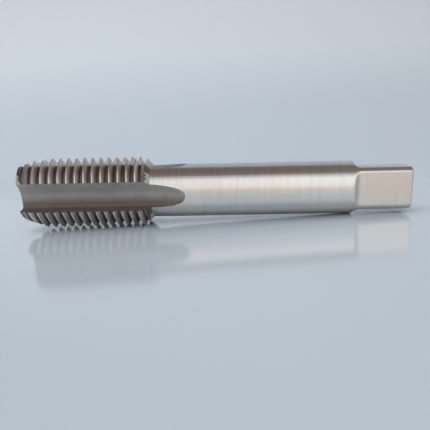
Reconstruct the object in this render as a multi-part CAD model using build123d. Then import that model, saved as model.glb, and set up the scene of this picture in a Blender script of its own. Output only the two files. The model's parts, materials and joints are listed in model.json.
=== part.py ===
from build123d import *
from math import acos, atan, atan2, ceil, cos, degrees, radians, sin, sqrt, tan
import os

# A metric hand tap, M22 x 2.5, ground from one bar: a threaded and fluted cutting end, a plain
# shank and a drive square. It is shaped along +X from the cutting end, then laid on the ground
# plane as it comes to rest by itself. All sizes are in millimetres and degrees.

# Bar
overall_length = 118.0
shank_diameter = 16.0
neck_angle = 45.0
end_round = 0.8

# Thread, right hand, relieved so that the heel of each land lies below its cutting edge
thread_diameter = 22.0
thread_pitch = 2.5
thread_length = 36.2
thread_angle = 60.0
thread_phase = 12.0
crest_oversize = 0.1
root_diameter = 18.9
root_flat = 0.3
thread_relief = 0.3

# Lead, where the first teeth are cut back to a cone and relieved behind their cutting edge
lead_angle = 18.0
lead_end_diameter = 18.8
lead_relief_angle = 5.0

# Flutes, ground by a round wheel that lifts out onto the shank
flute_count = 4
land_angle = 45.0
core_diameter = 11.0
rake_angle = 20.0
hook_radius = 25.0
floor_lean = 1.0
floor_flat = 2.4
flute_straight_length = 32.6
wheel_radius = 60.0

# Drive square
square_width = 12.5
square_length = 15.5
square_turn = -3.2
flat_count = 4
shoulder_radius = 2.0
edge_round = 1.0

# Centre holes, one in each end
centre_pilot_diameter = 2.5
centre_mouth_diameter = 5.3
centre_cone_angle = 60.0
centre_depth = 5.0
drill_point_angle = 118.0

# How far a cutter reaches past what it cuts
clear = 2.0

crest_radius = (thread_diameter + crest_oversize) / 2
root_radius = root_diameter / 2
shank_radius = shank_diameter / 2
core_radius = core_diameter / 2
flat_height = square_width / 2
flat_x = overall_length - square_length
shoulder_x = flat_x - shoulder_radius
flute_spacing = 360 / flute_count
flute_angle = flute_spacing - land_angle
outside = crest_radius + clear

# Flute section, with local x outwards along the middle of the flute and local y towards the
# heel of the land behind it. Its parts run into each other without a kink: the hooked cutting
# face, a tight corner, a flat stretch of floor and the round heel side.
half_flute = radians(flute_angle / 2)
face_slope = half_flute - radians(rake_angle)
lean = radians(floor_lean)
cutting_edge = Vector(cos(half_flute), -sin(half_flute)) * crest_radius
heel_edge = Vector(cos(half_flute), sin(half_flute)) * crest_radius
face_normal = Vector(sin(face_slope), cos(face_slope))
floor_normal = Vector(cos(lean), -sin(lean))
floor_tangent = Vector(sin(lean), cos(lean))
floor_point = floor_normal * core_radius
face_centre = cutting_edge + face_normal * hook_radius
corner_start = floor_point - floor_tangent * floor_flat
from_face = corner_start - face_centre
corner_radius = (hook_radius**2 - from_face.dot(from_face)) / (2 * (from_face.dot(floor_normal) + hook_radius))
corner_centre = corner_start + floor_normal * corner_radius
face_end = face_centre + (corner_centre - face_centre).normalized() * hook_radius
heel_chord = heel_edge - floor_point
heel_radius = heel_chord.dot(heel_chord) / (2 * heel_chord.dot(floor_normal))
heel_centre = floor_point + floor_normal * heel_radius


def make_blank():
    """The turned bar, with the thread land, the neck and the shank."""
    neck_length = (crest_radius - shank_radius) / tan(radians(neck_angle))
    outline = Polyline(
        (0, 0),
        (0, crest_radius),
        (thread_length, crest_radius),
        (thread_length + neck_length, shank_radius),
        (overall_length, shank_radius),
        (overall_length, 0),
        close=True,
    )
    return revolve(Plane.XZ * make_face(outline), Axis.X)


def land_offset(heel_drop):
    """How far off the axis a land is centred, for its heel to drop this much."""
    return heel_drop / (2 * sin(radians(land_angle / 2)))


def make_grooves():
    """The thread: short V grooves, one across each land, that together follow one helix."""
    depth = crest_radius - root_radius
    half_root = root_flat / 2
    half_crest = half_root + depth * tan(radians(thread_angle / 2))
    span = land_angle + flute_angle / 2
    rise = thread_pitch * span / 360
    path = Helix(thread_pitch, rise, root_radius - thread_relief / 2, direction=(1, 0, 0))
    section = Polyline(
        (-half_root, 0),
        (-half_crest, depth),
        (-half_crest, depth + clear),
        (half_crest, depth + clear),
        (half_crest, depth),
        (half_root, 0),
        close=True,
    )
    start = Plane(origin=path @ 0, x_dir=(1, 0, 0), z_dir=path % 0)
    groove = sweep(make_face(start * section), path=path, is_frenet=True)
    groove = Pos(-rise / 2, land_offset(thread_relief), 0) * Rot(-span / 2, 0, 0) * groove

    last_groove = thread_length + depth / tan(radians(neck_angle)) + half_crest
    grooves = []
    for turn in range(-1, ceil(last_groove / thread_pitch)):
        for land in range(flute_count):
            angle = flute_spacing * (land + 0.5)
            advance = thread_pitch * (turn + (angle + thread_phase) / 360)
            grooves.append(Pos(advance, 0, 0) * Rot(angle, 0, 0) * groove)
    return grooves


def make_land_rings(length, end_radius, slope, heel_drop):
    """Rings that turn each land off centre, with its cutting edge at end_radius at x = 0."""
    offset = land_offset(heel_drop)
    start_radius = end_radius - heel_drop / 2 - clear * slope
    ring = Polyline(
        (-clear, start_radius),
        (length, start_radius + (length + clear) * slope),
        (length, outside + offset),
        (-clear, outside + offset),
        close=True,
    )
    ring = Pos(0, offset, 0) * revolve(Plane.XZ * make_face(ring), Axis.X)
    reach = 2 * outside
    half_width = reach * tan(radians(flute_spacing / 2))
    sector = Polyline((0, 0), (half_width, reach), (-half_width, reach), close=True)
    sector = extrude(Plane.YZ.offset(-clear) * make_face(sector), length + 2 * clear)
    cutter = ring & sector
    return [Rot(flute_spacing * (land + 0.5), 0, 0) * cutter for land in range(flute_count)]


def make_lead_cutters():
    """The relieved cone of the first teeth, as far along as its heel side still cuts."""
    heel_drop = radians(land_angle) * crest_radius * tan(radians(lead_relief_angle))
    slope = tan(radians(lead_angle))
    lead_length = (crest_radius + heel_drop - lead_end_diameter / 2) / slope
    return make_land_rings(lead_length, lead_end_diameter / 2, slope, heel_drop)


def make_crest_cutters():
    """The relief of the full crests, up to where the neck lies below them."""
    neck_end = thread_length + (crest_radius - shank_radius) / tan(radians(neck_angle))
    return make_land_rings(neck_end, crest_radius, 0.0, thread_relief)


def make_flute_cutters():
    """The path of the grinding wheel: straight along the lands, then out on its own radius."""
    reach_out = clear / hook_radius
    edge_out = face_centre - face_normal.rotate(Axis.Z, degrees(reach_out)) * hook_radius
    heel_out = heel_edge.normalized() * edge_out.length
    outline = [
        ThreePointArc(edge_out, cutting_edge, face_end),
        TangentArc(corner_start, face_end, tangent=-floor_tangent),
        Line(corner_start, floor_point),
        TangentArc(floor_point, heel_edge, tangent=floor_tangent),
        Line(heel_edge, heel_out),
        Line(heel_out, edge_out),
    ]
    section_plane = Plane(origin=(flute_straight_length, 0, 0), x_dir=(0, 0, 1), z_dir=(-1, 0, 0))
    section = section_plane * make_face(outline)
    straight = extrude(section, flute_straight_length + clear)
    wheel_axis = Axis((flute_straight_length, 0, core_radius + wheel_radius), (0, -1, 0))
    lift_angle = degrees(acos(1 - (outside - core_radius) / wheel_radius))
    cutter = straight + revolve(section, wheel_axis, lift_angle)
    return [Rot(flute_spacing * flute, 0, 0) * cutter for flute in range(flute_count)]


def make_flat_cutters():
    """Blocks that mill the drive square and leave a hollow round shoulder against the shank."""
    flat_start = (flat_x, flat_height)
    shoulder_top = (shoulder_x, flat_height + shoulder_radius)
    outline = [
        Polyline(
            flat_start,
            (overall_length + clear, flat_height),
            (overall_length + clear, outside),
            (shoulder_x, outside),
            shoulder_top,
        ),
        TangentArc(flat_start, shoulder_top, tangent=(-1, 0)),
    ]
    cutter = extrude(Plane.XZ * make_face(outline), outside, both=True)
    return [Rot(360 / flat_count * side + square_turn, 0, 0) * cutter for side in range(flat_count)]


def round_square(bar):
    """Takes the sharpness off the long edges of the drive square, then off its end."""
    long_edges = bar.edges().filter_by(Axis.X).filter_by_position(Axis.X, shoulder_x, overall_length)
    bar = fillet(long_edges, edge_round)
    return fillet(bar.faces().sort_by(Axis.X)[-1].edges(), end_round)


def make_centre_hole():
    """A centre hole that opens at x = 0 and runs into +X, with its drill point."""
    pilot_radius = centre_pilot_diameter / 2
    mouth_radius = centre_mouth_diameter / 2
    cone_length = (mouth_radius - pilot_radius) / tan(radians(centre_cone_angle / 2))
    point_length = pilot_radius / tan(radians(drill_point_angle / 2))
    outline = Polyline(
        (0, 0),
        (0, mouth_radius),
        (cone_length, pilot_radius),
        (centre_depth, pilot_radius),
        (centre_depth + point_length, 0),
        close=True,
    )
    return revolve(Plane.XZ * make_face(outline), Axis.X)


def land_edge_at(x, centre, radius, crest, side):
    """Where one side of the flute, an arc, meets the crests at x, as a point in its section."""
    run_out = max(0.0, x - flute_straight_length)
    lifted = centre + Vector(wheel_radius - sqrt(wheel_radius**2 - run_out**2), 0)
    distance = lifted.length
    crossing = (crest**2 + distance**2 - radius**2) / (2 * crest * distance)
    angle = atan2(lifted.Y, lifted.X) + side * acos(crossing)
    return Vector(cos(angle), sin(angle)) * crest


def lay_down(tap):
    """Rests the tap on two land edges at the back of the thread and on the end of its shank."""
    cut = land_edge_at(thread_length, face_centre, hook_radius, crest_radius, -1)
    heel = land_edge_at(thread_length, heel_centre, heel_radius, crest_radius - thread_relief, 1)
    chord = (heel - cut).normalized()
    roll = 180 + degrees(atan2(-chord.X, chord.Y))
    thread_support = cut.X * chord.Y - cut.Y * chord.X
    tilt = degrees(atan((thread_support - shank_radius) / (shoulder_x - thread_length)))
    laid = Rot(0, tilt, 0) * Rot(roll, 0, 0) * tap
    box = laid.bounding_box()
    return Pos(-box.center().X, -box.center().Y, -box.min.Z) * laid


tap = make_blank()
tap -= make_flat_cutters()
tap = round_square(tap)
tap -= make_centre_hole()
tap -= Pos(overall_length, 0, 0) * Rot(0, 180, 0) * make_centre_hole()
tap -= make_flute_cutters()
tap -= make_lead_cutters()
tap -= make_crest_cutters()
tap -= make_grooves()
tap = lay_down(tap)

os.makedirs("parts", exist_ok=True)
export_step(tap, "parts/thread_tap.step")
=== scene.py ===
import json
import math
import bmesh
import bpy
from mathutils import Matrix, Vector


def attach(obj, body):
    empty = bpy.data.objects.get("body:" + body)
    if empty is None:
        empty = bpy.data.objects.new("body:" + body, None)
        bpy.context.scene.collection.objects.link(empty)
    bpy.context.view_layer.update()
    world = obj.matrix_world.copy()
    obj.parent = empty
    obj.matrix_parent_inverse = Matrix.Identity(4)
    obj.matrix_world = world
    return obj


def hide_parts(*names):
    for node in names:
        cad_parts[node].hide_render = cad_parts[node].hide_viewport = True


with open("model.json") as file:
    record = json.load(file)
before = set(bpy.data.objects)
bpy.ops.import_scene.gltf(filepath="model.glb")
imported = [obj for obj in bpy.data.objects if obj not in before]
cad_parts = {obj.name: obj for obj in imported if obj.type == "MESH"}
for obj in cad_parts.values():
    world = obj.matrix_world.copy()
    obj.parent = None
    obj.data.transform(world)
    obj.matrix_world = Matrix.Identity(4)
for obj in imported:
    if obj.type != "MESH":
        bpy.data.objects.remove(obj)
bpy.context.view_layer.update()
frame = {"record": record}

# The camera, measured from the photograph. The lens's own axis meets the picture at
# centrePixels, off its middle, as in a picture that was cropped from a larger one.
pictureSize = 430
camera = {
    "target": (0.009877, 0.0, -0.024417),
    "distance": 0.166757,
    "azimuth": 0.631,
    "elevation": 18.863,
    "roll": -3.049,
    "focalPixels": 500,
    "centrePixels": (255, 290),
    "nearest": 0.005,
}


def addCamera():
    middle = pictureSize / 2
    across, down = camera["centrePixels"]
    data = bpy.data.cameras.new("camera")
    data.lens = data.sensor_width * camera["focalPixels"] / pictureSize
    data.shift_x = (middle - across) / pictureSize
    data.shift_y = (down - middle) / pictureSize
    data.clip_start = camera["nearest"]
    side = math.radians(camera["azimuth"])
    rise = math.radians(camera["elevation"])
    level = math.cos(rise)
    back = Vector((math.sin(side) * level, -math.cos(side) * level, math.sin(rise)))
    place = Matrix.Translation(Vector(camera["target"]) + back * camera["distance"])
    turn = (-back).to_track_quat("-Z", "Y").to_matrix().to_4x4()
    roll = Matrix.Rotation(math.radians(camera["roll"]), 4, "Z")
    item = bpy.data.objects.new("camera", data)
    bpy.context.collection.objects.link(item)
    item.matrix_world = place @ turn @ roll
    bpy.context.scene.camera = item


addCamera()
print("camera placed")

# The tap's own axis, from the record's mount on the shank, so that the finishes follow
# the metal.
shankMount = next(mount for mount in frame["record"]["mounts"] if mount["name"] == "shank")
tapAxis = Vector(shankMount["axis"]).normalized()
axisPoint = Vector(shankMount["pos_m"])
tapTilt = math.atan2(-tapAxis.z, tapAxis.x)


def newMaterial(name, metallic):
    material = bpy.data.materials.new(name)
    material.use_nodes = True
    shader = material.node_tree.nodes["Principled BSDF"]
    shader.inputs["Metallic"].default_value = metallic
    return material, shader


# In these small helpers the owner of the nodes is a material or the world.
def addNode(owner, kind, **settings):
    node = owner.node_tree.nodes.new(kind)
    for name, value in settings.items():
        setattr(node, name, value)
    return node


def join(owner, output, target):
    owner.node_tree.links.new(output, target)


def ramp(owner, value, stops):
    node = addNode(owner, "ShaderNodeValToRGB")
    elements = node.color_ramp.elements
    while len(elements) < len(stops):
        elements.new(0.5)
    for element, (position, colour) in zip(elements, stops):
        element.position = position
        element.color = (*colour, 1)
    join(owner, value, node.inputs["Fac"])
    return node.outputs["Color"]


def spread(owner, value, low, high, fromLow=0.3, fromHigh=0.7, easing="LINEAR"):
    # 0.3 to 0.7 is where most of a noise lies
    node = addNode(owner, "ShaderNodeMapRange", interpolation_type=easing)
    node.inputs["From Min"].default_value = fromLow
    node.inputs["From Max"].default_value = fromHigh
    node.inputs["To Min"].default_value = low
    node.inputs["To Max"].default_value = high
    join(owner, value, node.inputs["Value"])
    return node.outputs["Result"]


def mixColours(owner, amount, first, second, mode="MIX"):
    node = addNode(owner, "ShaderNodeMix", data_type="RGBA", blend_type=mode)
    factorSocket, firstSocket, secondSocket = node.inputs[0], node.inputs[6], node.inputs[7]
    if isinstance(amount, float):
        factorSocket.default_value = amount
    else:
        join(owner, amount, factorSocket)
    for socket, colour in ((firstSocket, first), (secondSocket, second)):
        if isinstance(colour, tuple):
            socket.default_value = (*colour, 1)
        else:
            join(owner, colour, socket)
    return node.outputs[2]


def tapCoordinates(material):
    # object coordinates turned so that x runs along the tap and its axis is y = z = 0
    place = addNode(material, "ShaderNodeTexCoord")
    turn = addNode(material, "ShaderNodeMapping", vector_type="TEXTURE")
    turn.inputs["Location"].default_value = axisPoint
    turn.inputs["Rotation"].default_value = (0, tapTilt, 0)
    join(material, place.outputs["Object"], turn.inputs["Vector"])
    return turn.outputs["Vector"]


def axisDistance(material, coordinates):
    across = addNode(material, "ShaderNodeVectorMath", operation="MULTIPLY")
    across.inputs[1].default_value = (0, 1, 1)
    length = addNode(material, "ShaderNodeVectorMath", operation="LENGTH")
    join(material, coordinates, across.inputs[0])
    join(material, across.outputs["Vector"], length.inputs[0])
    return length.outputs["Value"]


def lineNoise(material, coordinates, stretch, detail=4.0, roughness=0.6):
    # a noise drawn out into lines: the larger the number, the finer it is that way
    scale = addNode(material, "ShaderNodeMapping")
    scale.inputs["Scale"].default_value = stretch
    noise = addNode(material, "ShaderNodeTexNoise")
    noise.inputs["Scale"].default_value = 1.0
    noise.inputs["Detail"].default_value = detail
    noise.inputs["Roughness"].default_value = roughness
    join(material, coordinates, scale.inputs["Vector"])
    join(material, scale.outputs["Vector"], noise.inputs["Vector"])
    return noise.outputs["Fac"]


def finishSteel(material, shader, tone, lines, finish):
    # the colour, with a roughness and a fine relief that follow the tool's lines
    bump = addNode(material, "ShaderNodeBump")
    bump.inputs["Strength"].default_value = finish["bump"]
    bump.inputs["Distance"].default_value = finish["bumpHeight"]
    roughness = spread(material, lines, *finish["roughness"])
    join(material, tone, shader.inputs["Base Color"])
    join(material, roughness, shader.inputs["Roughness"])
    join(material, lines, bump.inputs["Height"])
    join(material, bump.outputs["Normal"], shader.inputs["Normal"])


# The shank, ground round between centres: fine rings and a bright, softly blurred shine.
groundFinish = {
    "tones": [(0.3, (0.72, 0.70, 0.68)), (0.7, (0.78, 0.765, 0.75))],
    "haze": [(0.3, (0.95, 0.945, 0.94)), (0.65, (1, 1, 1))],
    "roughness": (0.2, 0.27),
    "ringStretch": (3200, 60, 60),
    "broadStretch": (420, 90, 90),
    "bump": 0.08,
    "bumpHeight": 0.00002,
}


def groundSteel():
    material, shader = newMaterial("groundSteel", 1.0)
    coordinates = tapCoordinates(material)
    rings = lineNoise(material, coordinates, groundFinish["ringStretch"])
    broad = lineNoise(material, coordinates, groundFinish["broadStretch"], detail=3.0)
    tone = ramp(material, rings, groundFinish["tones"])
    haze = ramp(material, broad, groundFinish["haze"])
    tone = mixColours(material, 1.0, tone, haze, "MULTIPLY")
    finishSteel(material, shader, tone, rings, groundFinish)
    return material


# The flutes, cut by a coarse wheel: darker, satin, with scratches along the tap. Across each flute
# the tone holds painted light: a painted reflection, lighter on the heel side, and painted shade,
# darker and browner towards its cutting face.
fluteFinish = {
    "across": [
        (0.05, (0.82, 0.81, 0.81)),
        (0.33, (0.57, 0.56, 0.555)),
        (0.52, (0.57, 0.55, 0.54)),
        (0.66, (0.44, 0.40, 0.38)),
        (0.8, (0.30, 0.258, 0.24)),
    ],
    "scratches": [(0.3, (0.82, 0.81, 0.80)), (0.7, (1, 1, 1))],
    "haze": [(0.35, (0.9, 0.885, 0.88)), (0.65, (1, 1, 1))],
    "halfWidth": 0.0045,
    "halfSpacing": 45,  # degrees, with a flute at every quarter turn
    "turn": 2.24,  # degrees round the axis to the middle of a flute
    "roughness": (0.66, 0.78),
    "scratchStretch": (60, 2600, 2600),
    "cloudStretch": (220, 220, 220),
    "bump": 0.25,
    "bumpHeight": 0.00003,
}


def acrossFlute(material, coordinates):
    # 0 at the heel edge of each of the four flutes, 1 at the cutting edge
    halfSpacing = math.radians(fluteFinish["halfSpacing"])
    halfWidth = fluteFinish["halfWidth"]
    parts = addNode(material, "ShaderNodeSeparateXYZ")
    angle = addNode(material, "ShaderNodeMath", operation="ARCTAN2")
    turned = addNode(material, "ShaderNodeMath", operation="SUBTRACT")
    turned.inputs[1].default_value = math.radians(fluteFinish["turn"])
    wrapped = addNode(material, "ShaderNodeMath", operation="WRAP")
    wrapped.inputs[1].default_value = halfSpacing
    wrapped.inputs[2].default_value = -halfSpacing
    across = addNode(material, "ShaderNodeMath", operation="MULTIPLY")
    join(material, coordinates, parts.inputs["Vector"])
    join(material, parts.outputs["Z"], angle.inputs[0])
    join(material, parts.outputs["Y"], angle.inputs[1])
    join(material, angle.outputs["Value"], turned.inputs[0])
    join(material, turned.outputs["Value"], wrapped.inputs[0])
    join(material, wrapped.outputs["Value"], across.inputs[0])
    join(material, axisDistance(material, coordinates), across.inputs[1])
    return spread(material, across.outputs["Value"], 0.0, 1.0, -halfWidth, halfWidth)


def fluteSteel():
    material, shader = newMaterial("fluteSteel", 1.0)
    coordinates = tapCoordinates(material)
    scratches = lineNoise(material, coordinates, fluteFinish["scratchStretch"])
    clouds = lineNoise(material, coordinates, fluteFinish["cloudStretch"], detail=3.0)
    # painted reflection and shade across each flute, lighter at the heel and darker and browner at
    # the cutting face
    tone = ramp(material, acrossFlute(material, coordinates), fluteFinish["across"])
    scratchTone = ramp(material, scratches, fluteFinish["scratches"])
    haze = ramp(material, clouds, fluteFinish["haze"])
    tone = mixColours(material, 1.0, tone, scratchTone, "MULTIPLY")
    tone = mixColours(material, 1.0, tone, haze, "MULTIPLY")
    finishSteel(material, shader, tone, scratches, fluteFinish)
    return material


# The thread, form ground: bright crests and flanks, with painted shade down in the roots.
threadFinish = {
    "tones": [
        (0.0, (0.17, 0.145, 0.13)),  # root
        (0.55, (0.72, 0.67, 0.63)),  # flank
        (0.95, (0.84, 0.795, 0.76)),  # crest
    ],
    "haze": [(0.3, (0.8, 0.79, 0.78)), (0.7, (1, 1, 1))],
    "radii": (0.0092, 0.01105),  # from the axis, where the tones begin and end
    "roughness": (0.3, 0.42),
    "lineStretch": (2600, 500, 500),
    "bump": 0.2,
    "bumpHeight": 0.00002,
}


def threadSteel():
    material, shader = newMaterial("threadSteel", 1.0)
    coordinates = tapCoordinates(material)
    lines = lineNoise(material, coordinates, threadFinish["lineStretch"])
    radius = axisDistance(material, coordinates)
    height = spread(material, radius, 0.0, 1.0, *threadFinish["radii"])
    # darker towards the axis: painted shade down in the thread's roots
    tone = ramp(material, height, threadFinish["tones"])
    haze = ramp(material, lines, threadFinish["haze"])
    tone = mixColours(material, 1.0, tone, haze, "MULTIPLY")
    finishSteel(material, shader, tone, lines, threadFinish)
    return material


# The flats of the drive square, milled across: warm satin with faint upright lines.
squareFinish = {
    "tones": [(0.3, (0.69, 0.645, 0.605)), (0.7, (0.735, 0.695, 0.655))],
    "roughness": (0.27, 0.34),
    "lineStretch": (2200, 60, 60),
    "bump": 0.12,
    "bumpHeight": 0.00002,
}


def squareSteel():
    material, shader = newMaterial("squareSteel", 1.0)
    coordinates = tapCoordinates(material)
    lines = lineNoise(material, coordinates, squareFinish["lineStretch"])
    tone = ramp(material, lines, squareFinish["tones"])
    finishSteel(material, shader, tone, lines, squareFinish)
    return material


# The tap. The cuts lie that far along it from the shank's mount, and squareStart and
# threadEnd are places on the scene's x. The last four, from 0 to 1, sort its faces by how
# much they face along the tap, which is the lean, or sideways round it, the turn.
tapShape = {
    "mergeDistance": 1e-6,
    "sharpAngle": 28,
    "shankCuts": (-0.0382, -0.036, -0.032, -0.028, -0.0265, 0.0, 0.0210, 0.0217),
    "cutTolerance": 1e-7,
    "threadEnd": -0.0195,
    "rootRadius": 0.0091,
    "shankRadius": 0.00796,
    "squareStart": 0.03,
    "endLean": 0.98,
    "flatLean": 0.05,
    "flatTurn": 0.001,
    "flankTurn": 0.5,
}

# the kinds of faces, in the order of the tap's materials
groundFace, fluteFace, threadFace, squareFace = range(4)


def kindOf(face):
    middle = face.calc_center_median()
    along = (middle - axisPoint).dot(tapAxis)
    outward = middle - axisPoint - tapAxis * along
    radius = outward.length
    lengthwise = abs(face.normal.dot(tapAxis))
    sideways = abs(face.normal.dot(tapAxis.cross(outward.normalized())))
    if middle.x > tapShape["squareStart"]:
        flat = lengthwise < tapShape["flatLean"] and sideways > tapShape["flatTurn"]
        return squareFace if flat and radius < tapShape["shankRadius"] else groundFace
    if lengthwise > tapShape["endLean"]:
        return groundFace
    if middle.x < tapShape["threadEnd"]:
        inFlute = radius < tapShape["rootRadius"] or sideways > tapShape["flankTurn"]
        return fluteFace if inFlute else threadFace
    return fluteFace if radius < tapShape["shankRadius"] else groundFace


def addTap():
    mesh = bpy.data.objects["thread_tap"].data.copy()
    mesh.name = "tap_body"
    mesh.materials.clear()
    for material in (groundSteel(), fluteSteel(), threadSteel(), squareSteel()):
        mesh.materials.append(material)
    shape = bmesh.new()
    shape.from_mesh(mesh)
    bmesh.ops.remove_doubles(shape, verts=shape.verts, dist=tapShape["mergeDistance"])
    for face in shape.faces:
        face.smooth = True
        face.material_index = kindOf(face)
    # cuts across the long thin faces of the shank keep its shine straight up to both ends
    for along in tapShape["shankCuts"]:
        bmesh.ops.bisect_plane(
            shape,
            geom=shape.verts[:] + shape.edges[:] + shape.faces[:],
            dist=tapShape["cutTolerance"],
            plane_co=axisPoint + tapAxis * along,
            plane_no=tapAxis,
        )
    # sharp at corners and all round each flute
    for edge in shape.edges:
        kinds = {face.material_index for face in edge.link_faces}
        corner = edge.calc_face_angle(math.pi) > math.radians(tapShape["sharpAngle"])
        fluteEdge = fluteFace in kinds and len(kinds) > 1
        edge.smooth = not corner and not fluteEdge
    shape.to_mesh(mesh)
    shape.free()
    item = bpy.data.objects.new("tap_body", mesh)
    bpy.context.collection.objects.link(item)
    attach(item, "root")
    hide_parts("thread_tap")
    return item


tap = addTap()
print("tap dressed:", len(tap.data.polygons), "faces")

# The table, a pale polished sheet that sweeps up behind the tap without an edge. It is paler
# higher up, which is painted light, and less glossy further back.
sweep = {
    "width": 3.0,
    "front": -2.5,
    "bendStart": 0.12,
    "bendRadius": 1.6,
    "bendSteps": 64,
    "top": 3.0,
    "mergeDistance": 1e-5,
    "tones": [(0.0, (0.53, 0.61, 0.69)), (1.0, (0.64, 0.71, 0.785))],
    "toneHeights": (0.04, 0.136),
    "ior": 2.3,
    "gloss": (0.12, 0.6),
    "glossFade": (0.0, 0.2),
}


def paleSheet():
    material, shader = newMaterial("paleSheet", 0.0)
    shader.inputs["IOR"].default_value = sweep["ior"]
    place = addNode(material, "ShaderNodeTexCoord")
    parts = addNode(material, "ShaderNodeSeparateXYZ")
    join(material, place.outputs["Object"], parts.inputs["Vector"])
    height = spread(material, parts.outputs["Z"], 0.0, 1.0, *sweep["toneHeights"])
    # paler higher up: painted light on the wall
    tone = ramp(material, height, sweep["tones"])
    fade = spread(material, parts.outputs["Y"], *sweep["gloss"], *sweep["glossFade"], "SMOOTHSTEP")
    join(material, tone, shader.inputs["Base Color"])
    join(material, fade, shader.inputs["Roughness"])
    return material


def only(kind, made):
    return [part for part in made if isinstance(part, kind)]


def addSweep():
    shape = bmesh.new()
    front = [shape.verts.new((side * sweep["width"], sweep["front"], 0.0)) for side in (-1, 1)]
    frontEdge = shape.edges.new(front)
    flat = bmesh.ops.extrude_edge_only(shape, edges=[frontEdge])["geom"]
    ends = only(bmesh.types.BMVert, flat)
    lastEdge = [edge for edge in only(bmesh.types.BMEdge, flat) if set(edge.verts) == set(ends)]
    bmesh.ops.translate(shape, verts=ends, vec=(0, sweep["bendStart"] - sweep["front"], 0))
    bend = bmesh.ops.spin(
        shape,
        geom=lastEdge + ends,
        cent=(0, sweep["bendStart"], sweep["bendRadius"]),
        axis=(1, 0, 0),
        angle=math.radians(90),
        steps=sweep["bendSteps"],
        use_merge=False,
    )
    topEdge = only(bmesh.types.BMEdge, bend["geom_last"])
    wall = bmesh.ops.extrude_edge_only(shape, edges=topEdge)["geom"]
    upper = only(bmesh.types.BMVert, wall)
    bmesh.ops.translate(shape, verts=upper, vec=(0, 0, sweep["top"] - sweep["bendRadius"]))
    bmesh.ops.remove_doubles(shape, verts=shape.verts, dist=sweep["mergeDistance"])
    bmesh.ops.recalc_face_normals(shape, faces=shape.faces)
    for face in shape.faces:
        face.smooth = True
    mesh = bpy.data.meshes.new("sweep")
    shape.to_mesh(mesh)
    shape.free()
    mesh.materials.append(paleSheet())
    item = bpy.data.objects.new("sweep", mesh)
    bpy.context.collection.objects.link(item)


addSweep()
print("table set")

# Soft studio light. The room's brightness changes with the angle round the tap's length, from
# straight ahead of it at 0 over the top at 90 to straight behind at 180 degrees. It runs over
# into one tone at the room's sides, and is a little brighter at the drive square's end.
room = {
    "around": [
        (-20, (0.62, 0.66, 0.70)),
        (-6, (0.79, 0.725, 0.67)),
        (5, (0.83, 0.755, 0.68)),
        (9, (0.98, 0.9, 0.81)),
        (16, (1.05, 1.02, 0.98)),
        (50, (1.12, 1.13, 1.13)),
        (72, (0.20, 0.165, 0.15)),
        (140, (0.16, 0.135, 0.12)),
        (150, (0.43, 0.47, 0.51)),
    ],
    "sides": (0.38, 0.365, 0.355),
    "sidesAmount": (0.0, 0.8),
    "sidesFrom": (0.35, 0.85),
    "strength": (0.9, 1.1),
    "strengthFrom": (-0.2, 0.3),
}


def addRoom():
    world = bpy.data.worlds.new("room")
    bpy.context.scene.world = world
    world.use_nodes = True
    background = world.node_tree.nodes["Background"]
    place = addNode(world, "ShaderNodeTexCoord")
    parts = addNode(world, "ShaderNodeSeparateXYZ")
    ahead = addNode(world, "ShaderNodeMath", operation="MULTIPLY")
    ahead.inputs[1].default_value = -1
    angle = addNode(world, "ShaderNodeMath", operation="ARCTAN2")
    aside = addNode(world, "ShaderNodeMath", operation="ABSOLUTE")
    join(world, place.outputs["Generated"], parts.inputs["Vector"])
    join(world, parts.outputs["Y"], ahead.inputs[0])
    join(world, parts.outputs["Z"], angle.inputs[0])
    join(world, ahead.outputs["Value"], angle.inputs[1])
    join(world, parts.outputs["X"], aside.inputs[0])
    turned = spread(world, angle.outputs["Value"], 0.0, 1.0, -math.pi, math.pi)
    stops = [((degrees + 180) / 360, colour) for degrees, colour in room["around"]]
    around = ramp(world, turned, stops)
    sideways = spread(world, aside.outputs["Value"], *room["sidesAmount"], *room["sidesFrom"])
    colour = mixColours(world, sideways, around, room["sides"])
    strength = spread(world, parts.outputs["X"], *room["strength"], *room["strengthFrom"])
    join(world, colour, background.inputs["Color"])
    join(world, strength, background.inputs["Strength"])


# An even light for the table, left out of the metal's reflections.
fill = {
    "place": (-0.45, 0.03, 1.1),
    "size": (1.4, 1.4),
    "level": 1.66,  # the brightness of its face
}


def addFill():
    data = bpy.data.lights.new("fill", "AREA")
    data.shape = "RECTANGLE"
    data.size, data.size_y = fill["size"]
    data.energy = fill["level"] * math.pi * data.size * data.size_y
    item = bpy.data.objects.new("fill", data)
    item.location = fill["place"]
    item.rotation_euler = (-item.location).to_track_quat("-Z", "Y").to_euler()
    item.visible_glossy = False
    bpy.context.collection.objects.link(item)


addRoom()
addFill()
print("lights placed")

bpy.context.scene.view_settings.view_transform = "Standard"
